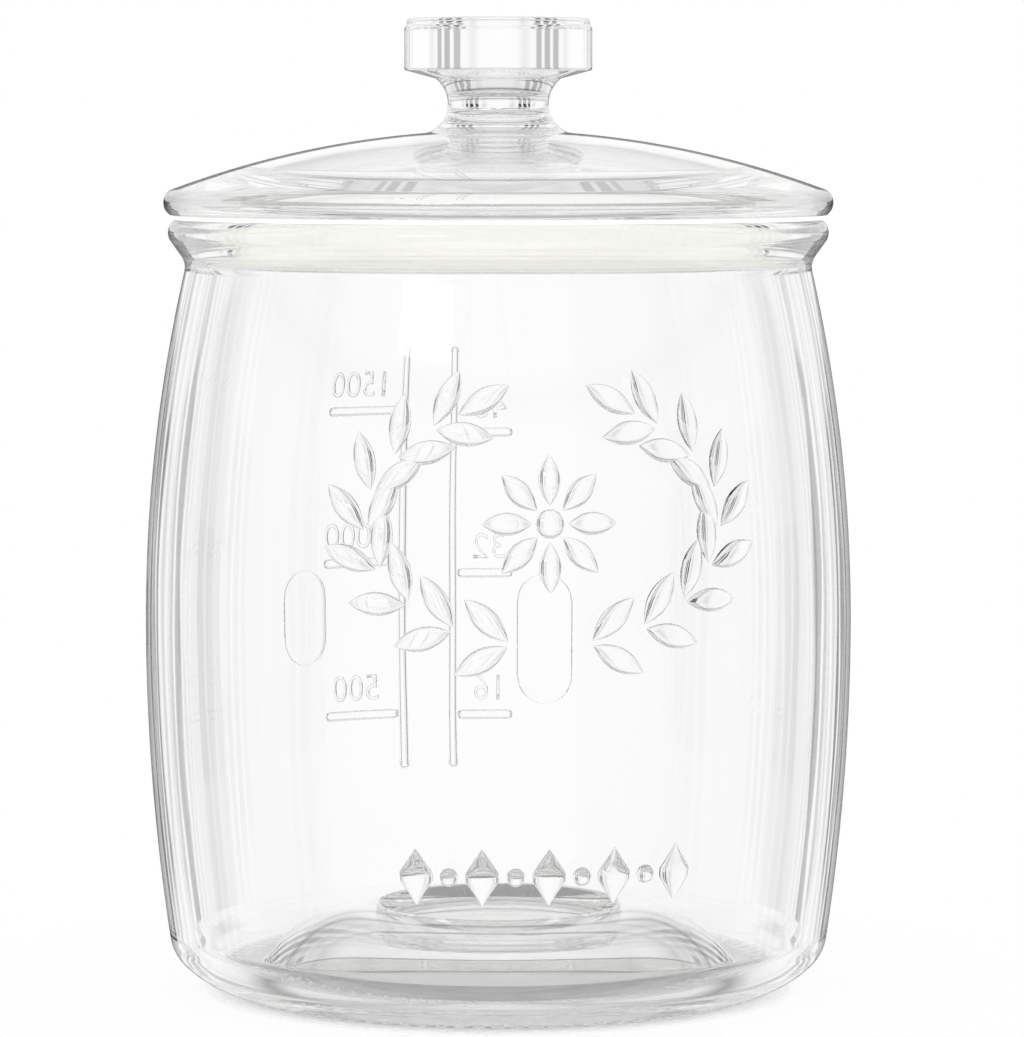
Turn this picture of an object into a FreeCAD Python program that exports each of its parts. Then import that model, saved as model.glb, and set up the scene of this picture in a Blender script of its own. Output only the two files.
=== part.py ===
"""Glass cookie jar with a knobbed glass lid and a soft ring that seals the two.

Three pieces, all on one upright axis: the jar, the seal ring that lies on its mouth, and the lid
whose plug goes down through that ring.  The origin is the centre of the circle that the jar stands
on, +Z is up, and the moulded ornament looks towards -Y.  Millimetres and degrees.
"""

import FreeCAD, Part
import Sketcher
import math
import os

# ---------------------------------------------------------------------------------------------
# Driving sizes.  A number is set by itself; a formula ties a size to the ones that it fits.
# ---------------------------------------------------------------------------------------------

SIZES = {
    # jar, outside
    "belly_radius": 73.4,  # widest circle of the jar
    "belly_height": 76.0,  # height of that circle
    "jar_height": 159.9,
    "heel_inset": 5.15217,  # heel inside the belly
    "heel_radius": "belly_radius - heel_inset",
    "heel_height": 8.1,  # where sole and flank would meet
    "heel_round": 8.2,
    "flank_arc": "((belly_height - heel_height)^2 + heel_inset^2) / (2 * heel_inset)",
    "foot_inset": 21.3,  # foot inside the belly
    "foot_radius": "belly_radius - foot_inset",  # outer edge of the flat ring that it stands on
    "sole_arc": 20.0,  # radius of the outline from the foot out to the heel
    # jar, mouth
    "bore_inset": 12.5,  # bore inside the belly
    "bore_radius": "belly_radius - bore_inset",
    "lip_round": 1.2,
    "neck_wall": 3.78289,  # glass between bore and neck
    "neck_radius": "bore_radius + neck_wall",
    "neck_drop": 8.9,  # below the mouth
    "neck_height": "jar_height - neck_drop",  # where shoulder and bead would meet
    "neck_round": 4.0,
    "shoulder_inset": "belly_radius - neck_radius",
    "shoulder_arc": "((neck_height - belly_height)^2 + shoulder_inset^2) / (2 * shoulder_inset)",
    "bead_wall": 7.55,  # glass between bore and the bead's outer edge
    "bead_radius": "bore_radius + bead_wall",  # rounded bead round the mouth
    "bead_round": 3.0,
    "bead_drop": 2.7,  # middle of the bead below the mouth
    "bead_height": "jar_height - bead_drop",
    "bead_angle": 40.0,  # how far round under the bead its curve goes
    # jar, inside
    "wall": 4.2,
    "moat_height": 5.5,  # lowest circle of the floor
    "moat_round": 8.0,
    # pushed-up floor
    "dome_arc": 30.0,
    "dome_height": 17.6,
    "crest_inset": 27.1,  # crest inside the foot
    "dome_crest": "foot_radius - crest_inset",  # radius of the circle where the dome is highest
    "dome_foot_round": 2.5,
    "base_wall": 4.5,
    "dish_inset": 2.2,  # dish inside the crest
    "dish_radius": "dome_crest - dish_inset",  # shallow round dish in the middle of the dome
    "dish_height": 14.7,
    "floor_round": 0.8,
    # seal ring
    "ring_inset": 1.05,  # inside the bead's outer edge
    "ring_radius": "bead_radius - ring_inset",
    "ring_thick": 1.0,  # between jar and lid
    "sleeve_wall": 1.3,
    "sleeve_radius": "plug_radius + plug_gap + sleeve_wall",
    "sleeve_end": 0.4,  # bare sleeve below the lowest fin
    "sleeve_drop": "fin_first + (fin_count - 1) * fin_pitch + fin_thick + sleeve_end",  # below the mouth
    "fin_count": 3,
    "fin_first": 2.6,  # first fin below the mouth
    "fin_pitch": 2.6,
    "fin_thick": 0.8,
    "plug_gap": 0.1,  # between plug and sleeve
    "bore_gap": 0.15,  # between fins and bore
    # lid
    "rim_overhang": 0.93,  # beyond the bead
    "rim_radius": "bead_radius + rim_overhang",
    "rim_round": 3.0,
    "rim_lift": 2.52723,  # centre of the rim's round edge above the seat
    "lid_rise": 17.5,  # from the seat to the top of the dome, without its knob
    "rim_fall": "lid_rise - rim_lift",  # from the top of the dome to the centre of that round edge
    "lid_arc": "((rim_radius - rim_round)^2 + rim_fall^2 - rim_round^2) / (2 * (rim_fall - rim_round))",
    "lid_wall": 4.4,
    "plug_space": 2.5,  # between plug and bore, where the sleeve and its fins are
    "plug_radius": "bore_radius - plug_space",
    "plug_wall": 4.4,
    "plug_end": 0.7,  # plug below the sleeve
    "plug_drop": "ring_thick + sleeve_drop + plug_end",  # plug below the seat
    "plug_round": 1.5,
    "ceiling_round": 4.0,
    "dimple_radius": 17.5,  # hollow in the lid's underside, below the knob
    "dimple_depth": 1.4,
    # knob, each height above the seat
    "stem_radius": 10.45,  # waist of the knob's stem
    "stem_rise": 5.45,  # waist above the dome
    "stem_height": "lid_rise + stem_rise",
    "stem_flare": 3.95,
    "stem_foot_radius": "stem_radius + stem_flare",
    "stem_foot_round": 4.0,
    "crease_flare": 2.5,
    "crease_radius": "stem_radius + crease_flare",  # where the stem meets the knob
    "crease_rise": 5.15,  # above the waist
    "crease_height": "stem_height + crease_rise",
    "knob_overhang": 6.51,  # beyond the crease
    "knob_radius": "crease_radius + knob_overhang",
    "knob_lift": 1.75,  # side of the knob above the crease
    "knob_bottom": "crease_height + knob_lift",
    "knob_side": 8.65,
    "knob_ledge": "knob_bottom + knob_side",
    "knob_ledge_drop": 0.7,
    "knob_rim_inset": 0.51,
    "knob_rim_radius": "knob_radius - knob_rim_inset",
    "knob_cap": 2.0,  # top of the knob above its ledge
    "knob_top": "knob_ledge + knob_cap",
    "knob_round": 0.6,
    # moulded relief
    "relief": 1.2,  # how far the ornament stands out
    "scale_relief": 0.8,  # how far the measuring scale stands out
    "ornament_turn": 8.0,  # the ornament is centred this far round from -Y towards +X
    "scale_turn": 13.0,  # the scale is centred this far round from +Y towards -X
    "wreath_half_width": 37.0,  # to the stems
    "wreath_half_height": 24.0,
    "wreath_drop": 49.0,  # wreath's centre below the neck
    "wreath_height": "neck_height - wreath_drop",
    "wreath_first_angle": -78.0,
    "wreath_last_angle": 50.0,
    "leaf_pairs": 8,
    "leaf_length": 12.0,
    "leaf_width": 4.8,
    "leaf_lean": 36.0,
    "stem_width": 1.6,
    "petals": 8,
    "petal_length": 10.0,
    "petal_width": 4.6,
    "rosette_eye": 3.6,  # from the rosette's centre to its petals
    "rosette_bead": 2.9,
    "lozenges": 5,
    "lozenge_width": 8.0,
    "lozenge_tall": 11.5,
    "lozenge_pitch": 13.5,
    "row_height": 32.5,
    "row_bead": 1.9,
    "scale_line": 2.2,
    "rail_apart": 11.8,
    "rail_low": 38.0,
    "rail_drop": 21.0,  # upper end of the rails below the neck
    "rail_high": "neck_height - rail_drop",
    "large_ticks": 3,  # 500, 1000 and 1500 millilitres
    "large_ticks_first": 49.2,
    "large_ticks_end": 13.0,  # last tick below the rails' upper end
    "large_ticks_step": "(rail_high - large_ticks_end - large_ticks_first) / (large_ticks - 1)",
    "large_reach": 19.0,
    "small_ticks": 3,  # 16, 32 and 48 fluid ounces
    "small_ticks_first": 48.6,
    "small_ticks_end": 18.2,
    "small_ticks_step": "(rail_high - small_ticks_end - small_ticks_first) / (small_ticks - 1)",
    "small_reach": 13.0,
}

doc = FreeCAD.newDocument("cookie_jar")
sheet = doc.addObject("Spreadsheet::Sheet", "Sizes")
for row, alias in enumerate(SIZES, start=1):
    sheet.set("A%d" % row, alias.replace("_", " "))
    sheet.setAlias("B%d" % row, alias)
for row, value in enumerate(SIZES.values(), start=1):
    sheet.set("B%d" % row, "=" + value if isinstance(value, str) else str(value))
doc.recompute()


def bound(formula):
    """A formula over the sizes, written out with the sheet's name before each size."""
    words, word = [], ""
    for sign in formula + " ":
        if sign.isalnum() or sign == "_":
            word += sign
            continue
        words.append("Sizes." + word if word in SIZES else word)
        words.append(sign)
        word = ""
    return "".join(words).strip()


def size(formula):
    """The number that a formula over the sizes comes to."""
    return float(sheet.evalExpression(bound(formula)))


# ---------------------------------------------------------------------------------------------
# Outlines: each corner is (radius, height), and may be reached by an arc from the corner before it
# ---------------------------------------------------------------------------------------------

LEFT, RIGHT = 1, -1  # side of the arc's centre, as one goes round the outline


def arc_between(start, end, radius, side):
    """The shorter arc from start to end, and whether it is drawn from its end backwards."""
    chord = end - start
    middle = (start + end) * 0.5
    sagitta_leg = math.sqrt(max(radius * radius - chord.Length**2 / 4, 0.0))
    normal = FreeCAD.Vector(-chord.y, chord.x, 0).normalize()
    centre = middle + normal * (sagitta_leg * side)
    first, last = (start, end) if side == LEFT else (end, start)
    begin = math.atan2(first.y - centre.y, first.x - centre.x)
    finish = math.atan2(last.y - centre.y, last.x - centre.x)
    if finish < begin:
        finish += 2 * math.pi
    circle = Part.Circle(centre, FreeCAD.Vector(0, 0, 1), radius)
    return Part.ArcOfCircle(circle, begin, finish), side == RIGHT


def along(corner, other, arc, distance):
    """The point of an edge that lies a distance from its corner, towards its other end."""
    if arc is None:
        return corner + (other - corner).normalize() * distance
    radius, side = arc
    centre = arc_between(corner, other, radius, side)[0].Center
    spoke = corner - centre
    turn = side * distance / radius
    return centre + FreeCAD.Vector(
        spoke.x * math.cos(turn) - spoke.y * math.sin(turn),
        spoke.x * math.sin(turn) + spoke.y * math.cos(turn),
        0,
    )


def draw_outline(sketch, corners, rounds):
    """Draw a closed outline in a sketch, its rounded corners too, all tied to the sheet."""
    count = len(corners)
    places = [FreeCAD.Vector(size(x), size(y), 0) for x, y, _ in corners]
    arcs = [None if arc is None else (size(arc[0]), arc[1]) for _, _, arc in corners]
    arrive, leave = list(places), list(places)  # where each corner's two edges end
    for number, radius in rounds.items():
        here, before, after = places[number], places[number - 1], places[(number + 1) % count]
        arc_in = arcs[number] and (arcs[number][0], -arcs[number][1])
        arc_out = arcs[(number + 1) % count]
        inward = (here - along(here, before, arc_in, 0.001)).normalize()
        outward = (along(here, after, arc_out, 0.001) - here).normalize()
        setback = size(radius) * math.tan(inward.getAngle(outward) / 2)
        arrive[number] = along(here, before, arc_in, setback)
        leave[number] = along(here, after, arc_out, setback)

    ends = []  # for each edge, the numbers of its first and last point
    for number, arc in enumerate(arcs):
        first, last = leave[number - 1], arrive[number]
        if arc is None:
            sketch.addGeometry(Part.LineSegment(first, last), False)
            ends.append((1, 2))
        else:
            curve, backwards = arc_between(first, last, *arc)
            sketch.addGeometry(curve, False)
            ends.append((2, 1) if backwards else (1, 2))

    ties = []  # constraint, and the formula that drives it or None
    for number, (x, y, arc) in enumerate(corners):
        after = (number + 1) % count
        end, start = (number, ends[number][1]), (after, ends[after][0])
        if number in rounds:
            inward, outward = places[number] - arrive[number], leave[number] - places[number]
            side = LEFT if inward.cross(outward).z > 0 else RIGHT
            curve, backwards = arc_between(
                arrive[number], leave[number], size(rounds[number]), side
            )
            bend = sketch.addGeometry(curve, False)
            point = (sketch.addGeometry(Part.Point(places[number]), True), 1)
            opening, closing = (2, 1) if backwards else (1, 2)
            ties += [
                (Sketcher.Constraint("Tangent", *end, bend, opening), None),
                (Sketcher.Constraint("Tangent", bend, closing, *start), None),
                (Sketcher.Constraint("PointOnObject", *point, number), None),
                (Sketcher.Constraint("PointOnObject", *point, after), None),
                (Sketcher.Constraint("Radius", bend, size(rounds[number])), rounds[number]),
            ]
        else:
            ties.append((Sketcher.Constraint("Coincident", *end, *start), None))
            point = end
        for kind, axis, formula in (("DistanceX", -2, x), ("DistanceY", -1, y)):
            if formula == "0":
                ties.append((Sketcher.Constraint("PointOnObject", *point, axis), None))
            else:
                ties.append((Sketcher.Constraint(kind, -1, 1, *point, size(formula)), formula))
        if arc is not None:
            ties.append((Sketcher.Constraint("Radius", number, size(arc[0])), arc[0]))
    sketch.addConstraint([tie for tie, _ in ties])
    for index, (_, formula) in enumerate(ties):
        if formula is not None:
            sketch.renameConstraint(index, "size%d" % index)
            sketch.setExpression("Constraints.size%d" % index, bound(formula))
    if sketch.solve() != 0:
        raise RuntimeError("the outline %s can't be drawn at these sizes" % sketch.Label)


def turned_body(name, corners, rounds):
    """A body turned from one outline; rounds gives the radius of each rounded corner."""
    body = doc.addObject("PartDesign::Body", name)
    sketch = body.newObject("Sketcher::SketchObject", name + "_outline")
    upright = next(f for f in body.Origin.OriginFeatures if f.Role == "XZ_Plane")
    sketch.AttachmentSupport = [(upright, "")]
    sketch.MapMode = "FlatFace"
    draw_outline(sketch, corners, rounds)
    doc.recompute()
    turned = body.newObject("PartDesign::Revolution", name + "_turned")
    turned.Profile = (sketch, [""])
    turned.ReferenceAxis = (sketch, ["V_Axis"])
    turned.Angle = 360
    doc.recompute()
    return body


# ---------------------------------------------------------------------------------------------
# Jar: one piece of glass with a pushed-up floor, a belly, a neck and a beaded mouth
# ---------------------------------------------------------------------------------------------

FLANK_CENTRE = "belly_radius - flank_arc"
BEAD_CENTRE = "bead_radius - bead_round"
DOME_DEPTH = "(dome_arc - dome_height)"  # centre of the dome's arc below the foot
INNER_FLANK = "(flank_arc - wall)"
MOAT_DROP = "(belly_height - moat_height - moat_round)"  # centre of the moat's corner below the belly
MOAT_REACH = "sqrt((%s - moat_round)^2 - %s^2)" % (INNER_FLANK, MOAT_DROP)
MOAT_SHARE = "%s / (%s - moat_round)" % (INNER_FLANK, INNER_FLANK)

JAR = [
    ("0", "dish_height - base_wall", None),
    ("dish_radius", "dish_height - base_wall", None),
    ("dome_crest", "dome_height - base_wall", None),
    (
        "dome_crest + sqrt((dome_arc - base_wall)^2 - %s^2)" % DOME_DEPTH,
        "0",
        ("dome_arc - base_wall", RIGHT),
    ),
    ("foot_radius", "0", None),
    ("heel_radius", "heel_height", ("sole_arc", LEFT)),
    ("belly_radius", "belly_height", ("flank_arc", LEFT)),
    ("neck_radius", "neck_height", ("shoulder_arc", LEFT)),
    (
        BEAD_CENTRE + " + bead_round * cos(bead_angle)",
        "bead_height - bead_round * sin(bead_angle)",
        None,
    ),
    (
        BEAD_CENTRE + " + sqrt(bead_round^2 - bead_drop^2)",
        "jar_height",
        ("bead_round", LEFT),
    ),
    ("bore_radius", "jar_height", None),
    (
        "bore_radius",
        "belly_height + sqrt((shoulder_arc - wall)^2 - (shoulder_arc - bore_inset)^2)",
        None,
    ),
    ("belly_radius - wall", "belly_height", ("shoulder_arc - wall", RIGHT)),
    (
        FLANK_CENTRE + " + %s * %s" % (MOAT_REACH, MOAT_SHARE),
        "belly_height - %s * %s" % (MOAT_DROP, MOAT_SHARE),
        (INNER_FLANK, RIGHT),
    ),
    (FLANK_CENTRE + " + " + MOAT_REACH, "moat_height", ("moat_round", RIGHT)),
    ("dome_crest + sqrt(dome_arc^2 - (%s + moat_height)^2)" % DOME_DEPTH, "moat_height", None),
    ("dome_crest", "dome_height", ("dome_arc", LEFT)),
    ("dish_radius", "dish_height", None),
    ("0", "dish_height", None),
]
JAR_ROUNDS = {5: "heel_round", 7: "neck_round", 10: "lip_round", 15: "dome_foot_round"}
JAR_ROUNDS.update({corner: "floor_round" for corner in (1, 2, 3, 16, 17)})

# ---------------------------------------------------------------------------------------------
# Seal ring: a thin collar between jar and lid, and a finned sleeve in the mouth
# ---------------------------------------------------------------------------------------------


def ring_corners():
    """Outline of the seal ring, with its fins from the lowest up."""
    sleeve = "plug_radius + plug_gap"
    corners = [
        (sleeve, "jar_height - sleeve_drop", None),
        ("sleeve_radius", "jar_height - sleeve_drop", None),
    ]
    for fin in reversed(range(SIZES["fin_count"])):
        middle = "jar_height - fin_first - %d * fin_pitch" % fin
        corners += [
            ("sleeve_radius", middle + " - fin_thick", None),
            ("bore_radius - bore_gap", middle + " - fin_thick / 2", None),
            ("bore_radius - bore_gap", middle + " + fin_thick / 2", None),
            ("sleeve_radius", middle + " + fin_thick", None),
        ]
    corners += [
        ("sleeve_radius", "jar_height", None),
        ("ring_radius", "jar_height", None),
        ("ring_radius", "jar_height + ring_thick", None),
        (sleeve, "jar_height + ring_thick", None),
    ]
    return corners


# ---------------------------------------------------------------------------------------------
# Lid: one piece of glass with a domed top, a knob, a rounded rim and a hollow plug
# ---------------------------------------------------------------------------------------------

SEAT = "jar_height + ring_thick"
LID_CENTRE = SEAT + " + lid_rise - lid_arc"
STEM_FOOT = "(lid_rise - lid_arc + sqrt(lid_arc^2 - stem_foot_radius^2))"


def arc_through(inner, outer, rise):
    """Radius of the arc that leaves a waist upright and reaches (outer, rise) from it."""
    return "((%s - %s)^2 + %s^2) / (2 * (%s - %s))" % (outer, inner, rise, outer, inner)


LID = [
    ("0", SEAT + " + lid_rise - lid_wall + dimple_depth", None),
    ("dimple_radius", SEAT + " + lid_rise - lid_wall + dimple_depth", None),
    ("dimple_radius", LID_CENTRE + " + sqrt((lid_arc - lid_wall)^2 - dimple_radius^2)", None),
    (
        "plug_radius - plug_wall",
        LID_CENTRE + " + sqrt((lid_arc - lid_wall)^2 - (plug_radius - plug_wall)^2)",
        ("lid_arc - lid_wall", RIGHT),
    ),
    ("plug_radius - plug_wall", SEAT + " - plug_drop", None),
    ("plug_radius", SEAT + " - plug_drop", None),
    ("plug_radius", SEAT, None),
    ("rim_radius - rim_round + sqrt(rim_round^2 - rim_lift^2)", SEAT, None),
    (
        "(rim_radius - rim_round) * lid_arc / (lid_arc - rim_round)",
        LID_CENTRE + " + (lid_arc - rim_fall) * lid_arc / (lid_arc - rim_round)",
        ("rim_round", LEFT),
    ),
    ("stem_foot_radius", SEAT + " + " + STEM_FOOT, ("lid_arc", LEFT)),
    (
        "stem_radius",
        SEAT + " + stem_height",
        (arc_through("stem_radius", "stem_foot_radius", "(stem_height - %s)" % STEM_FOOT), RIGHT),
    ),
    (
        "crease_radius",
        SEAT + " + crease_height",
        (arc_through("stem_radius", "crease_radius", "(crease_height - stem_height)"), RIGHT),
    ),
    ("knob_radius", SEAT + " + knob_bottom", None),
    ("knob_radius", SEAT + " + knob_ledge", None),
    ("knob_rim_radius", SEAT + " + knob_ledge + knob_ledge_drop", None),
    ("knob_rim_radius", SEAT + " + knob_top", None),
    ("0", SEAT + " + knob_top", None),
]
LID_ROUNDS = {3: "ceiling_round", 4: "plug_round", 5: "plug_round", 9: "stem_foot_round"}
LID_ROUNDS.update({12: "knob_round", 15: "knob_round"})

# ---------------------------------------------------------------------------------------------
# Moulded relief: a leaf wreath round a rosette, a row of lozenges, and a measuring scale behind.
# Every mark is given by its place along the wall (millimetres round from the design's centre at the
# belly) and its height, and is cut from the wall's own curve raised by the depth of the relief.
# ---------------------------------------------------------------------------------------------

UP = FreeCAD.Vector(0, 0, 1)


def pillar(outline, along_wall, height, tilt, turn):
    """A bar of the given outline from half way out to well past the wall, at one place."""
    belly = size("belly_radius")
    face = Part.Face(Part.Wire(outline))
    face.rotate(FreeCAD.Vector(), FreeCAD.Vector(0, -1, 0), tilt)
    face.translate(FreeCAD.Vector(0, -belly / 2, height))
    bar = face.extrude(FreeCAD.Vector(0, -belly, 0))
    bar.rotate(FreeCAD.Vector(), UP, turn + math.degrees(along_wall / belly))
    return bar


def leaf(length, width):
    """A pointed oval, its length along the wall before it is tilted."""
    tips = [FreeCAD.Vector(end * length / 2, 0, 0) for end in (-1, 1)]
    sides = [FreeCAD.Vector(0, 0, side * width / 2) for side in (-1, 1)]
    arcs = [Part.Arc(tips[0], sides[0], tips[1]), Part.Arc(tips[1], sides[1], tips[0])]
    return [arc.toShape() for arc in arcs]


def bead(radius):
    return [Part.Circle(FreeCAD.Vector(), FreeCAD.Vector(0, 1, 0), radius).toShape()]


def bar_outline(length, width):
    """A straight bar with round ends, its length along the wall before it is tilted."""
    end, side = length / 2, width / 2
    corner = [FreeCAD.Vector(x * end, 0, z * side) for x, z in ((-1, -1), (1, -1), (1, 1), (-1, 1))]
    tips = [FreeCAD.Vector(x * (end + side), 0, 0) for x in (-1, 1)]
    return [
        Part.LineSegment(corner[0], corner[1]).toShape(),
        Part.Arc(corner[1], tips[1], corner[2]).toShape(),
        Part.LineSegment(corner[2], corner[3]).toShape(),
        Part.Arc(corner[3], tips[0], corner[0]).toShape(),
    ]


def lozenge(width, tall):
    places = [(-width / 2, 0), (0, -tall / 2), (width / 2, 0), (0, tall / 2)]
    corners = [FreeCAD.Vector(x, 0, z) for x, z in places]
    return [Part.LineSegment(corners[n - 1], corners[n]).toShape() for n in range(4)]


def wreath_point(side, angle):
    """A point of the wreath's stem and the way the stem grows there, in degrees."""
    wide, tall = size("wreath_half_width"), size("wreath_half_height")
    turn = math.radians(angle)
    x, z = side * wide * math.cos(turn), size("wreath_height") + tall * math.sin(turn)
    growth = math.degrees(math.atan2(tall * math.cos(turn), -side * wide * math.sin(turn)))
    return x, z, growth


def ornament_marks():
    """Outline, place along the wall, height and tilt of every mark of the front ornament."""
    marks = []
    count = SIZES["leaf_pairs"]
    first, last = size("wreath_first_angle"), size("wreath_last_angle")
    for side in (-1, 1):
        for number in range(count):
            angle = first + (last - first) * number / (count - 1)
            x, z, growth = wreath_point(side, angle)
            for lean in (-1, 1):
                tilt = growth + lean * size("leaf_lean")
                out = size("leaf_length") / 2 + size("stem_width") / 2
                place = (
                    x + out * math.cos(math.radians(tilt)),
                    z + out * math.sin(math.radians(tilt)),
                )
                marks.append((leaf(size("leaf_length"), size("leaf_width")), *place, tilt))
        x, z, growth = wreath_point(side, last)
        reach = size("leaf_length")
        place = (x + reach * math.cos(math.radians(growth)), z + reach * math.sin(math.radians(growth)))
        marks.append((leaf(size("leaf_length"), size("leaf_width")), *place, growth))
    for petal in range(SIZES["petals"]):
        tilt = 360.0 * petal / SIZES["petals"]
        out = size("rosette_eye") + size("petal_length") / 2
        place = (
            out * math.cos(math.radians(tilt)),
            size("wreath_height") + out * math.sin(math.radians(tilt)),
        )
        marks.append((leaf(size("petal_length"), size("petal_width")), *place, tilt))
    marks.append((bead(size("rosette_bead")), 0, size("wreath_height"), 0))
    count = SIZES["lozenges"]
    for number in range(count):
        x = (number - (count - 1) / 2) * size("lozenge_pitch")
        marks.append((lozenge(size("lozenge_width"), size("lozenge_tall")), x, size("row_height"), 0))
        if number:
            between = x - size("lozenge_pitch") / 2
            marks.append((bead(size("row_bead")), between, size("row_height"), 0))
    return marks


def scale_marks():
    """Outline, place, height and tilt of every mark of the measuring scale."""
    marks = []
    low, high = size("rail_low"), size("rail_high")
    line = size("scale_line")
    for side, ticks, reach in ((1, "large_ticks", "large_reach"), (-1, "small_ticks", "small_reach")):
        rail = side * size("rail_apart") / 2
        marks.append((bar_outline(high - low, line), rail, (low + high) / 2, 90))
        step = size(ticks + "_step")
        for number in range(SIZES[ticks]):
            height = size(ticks + "_first") + number * step
            middle = rail + side * size(reach) / 2
            marks.append((bar_outline(size(reach), line), middle, height, 0))
    return marks


def raised(marks, depth, turn):
    """The marks as solids that follow the wall and stand out of it by the given depth."""
    low, high, belly = size("heel_height"), size("neck_height"), size("belly_height")
    outlines = []
    for offset in (depth, -size("wall") / 2):
        places = []
        for height, arc in (
            (low, size("flank_arc")),
            ((low + belly) / 2, size("flank_arc")),
            (belly, size("flank_arc")),
            ((high + belly) / 2, size("shoulder_arc")),
            (high, size("shoulder_arc")),
        ):
            reach = math.sqrt((arc + offset) ** 2 - (height - belly) ** 2)
            places.append(FreeCAD.Vector(size("belly_radius") - arc + reach, 0, height))
        outlines.append(places)
    outer, inner = outlines
    edges = [
        Part.Arc(outer[0], outer[1], outer[2]).toShape(),
        Part.Arc(outer[2], outer[3], outer[4]).toShape(),
        Part.LineSegment(outer[4], inner[4]).toShape(),
        Part.Arc(inner[4], inner[3], inner[2]).toShape(),
        Part.Arc(inner[2], inner[1], inner[0]).toShape(),
        Part.LineSegment(inner[0], outer[0]).toShape(),
    ]
    band = Part.Face(Part.Wire(edges)).revolve(FreeCAD.Vector(), UP, 360)
    bars = [pillar(outline, x, height, tilt, turn) for outline, x, height, tilt in marks]
    joined = bars[0].multiFuse(bars[1:])
    return band.common(joined)


blank = turned_body("jar_blank", JAR, JAR_ROUNDS)
ornament = doc.addObject("Part::Feature", "ornament")
ornament.Shape = raised(ornament_marks(), size("relief"), size("ornament_turn"))
scale = doc.addObject("Part::Feature", "measuring_scale")
scale.Shape = raised(scale_marks(), size("scale_relief"), 180 + size("scale_turn"))
jar = doc.addObject("Part::MultiFuse", "jar")
jar.Shapes = [blank, ornament, scale]

pieces = {
    "jar": jar,
    "lid": turned_body("lid", LID, LID_ROUNDS),
    "seal_ring": turned_body("seal_ring", ring_corners(), {}),
}

# ---------------------------------------------------------------------------------------------
# Check and write
# ---------------------------------------------------------------------------------------------

doc.recompute()
for item in doc.Objects:
    if "Invalid" in item.State or "Error" in item.State:
        raise RuntimeError("%s did not compute: %s" % (item.Label, item.State))
os.makedirs("parts", exist_ok=True)
for label, piece in pieces.items():
    piece.Label = label
    shape = piece.Shape
    if shape.isNull() or not shape.isValid() or len(shape.Solids) != 1:
        raise RuntimeError("%s is not one valid solid" % label)
    shape.exportStep("parts/%s.step" % label)
    print("%-10s %8.1f mm3" % (label, shape.Volume))
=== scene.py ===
"""Looks of a clear glass cookie jar with a knobbed glass lid and a soft seal ring.

Lengths are written in millimetres and made metres by MM.  Every turned piece is an outline of
(radius, height) corners, swept round the jar's axis with exact normals.  The ornament, the measuring
scale and the grip marks are solids that Geometry Nodes lay on the wall and melt into it.
"""

import bpy
import math
import numpy as np
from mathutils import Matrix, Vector


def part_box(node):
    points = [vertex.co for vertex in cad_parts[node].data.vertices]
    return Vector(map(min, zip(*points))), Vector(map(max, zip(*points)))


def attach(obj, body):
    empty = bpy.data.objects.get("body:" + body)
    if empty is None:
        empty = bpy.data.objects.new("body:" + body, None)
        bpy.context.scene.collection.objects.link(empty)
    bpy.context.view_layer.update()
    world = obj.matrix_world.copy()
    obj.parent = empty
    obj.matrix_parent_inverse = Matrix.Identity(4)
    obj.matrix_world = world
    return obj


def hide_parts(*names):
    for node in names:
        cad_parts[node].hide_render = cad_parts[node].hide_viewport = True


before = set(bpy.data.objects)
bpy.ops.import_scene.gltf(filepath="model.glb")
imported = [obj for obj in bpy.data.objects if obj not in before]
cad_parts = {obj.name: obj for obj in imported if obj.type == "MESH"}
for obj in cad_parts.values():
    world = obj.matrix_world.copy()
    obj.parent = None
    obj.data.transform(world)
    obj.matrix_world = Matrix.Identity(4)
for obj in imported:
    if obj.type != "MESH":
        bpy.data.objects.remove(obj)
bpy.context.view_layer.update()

MM = 0.001

# ---------------------------------------------------------------------------------------------
# Sizes: the overall ones come from the parts in model.glb, in millimetres
# ---------------------------------------------------------------------------------------------

jar_low, jar_high = (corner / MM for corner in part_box("jar"))
lid_low, lid_high = (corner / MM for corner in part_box("lid"))
ring_low, ring_high = (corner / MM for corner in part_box("seal_ring"))

BELLY = jar_high.x  # radius of the widest circle
BELLY_Z = 76.0
FLANK_ARC = 450.0
SHOULDER_ARC = 327.0
WALL = 4.2
MOUTH = jar_high.z
SEAT = ring_high.z  # underside of the lid's rim
LID_TOP = lid_high.z
TURN_STEPS = 240  # faces round a turned piece
ARC_STEP = math.radians(7.5)  # coarsest step round an arc of an outline
WHOLE = 1e9  # a step so long that an edge gives its ends only
ON_AXIS = 1e-6  # a smaller radius is a pole
SAME_PLACE = 1e-3  # nearer points of an outline are one

LEFT, RIGHT = 1, -1  # side of an arc's centre, as one goes round an outline


def arc_centre(start, end, radius, side):
    """Centre of the shorter arc between two points."""
    chord = end - start
    leg = math.sqrt(max(radius * radius - chord.length_squared / 4, 0.0))
    return (start + end) / 2 + Vector((-chord.y, chord.x)).normalized() * leg * side


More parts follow.
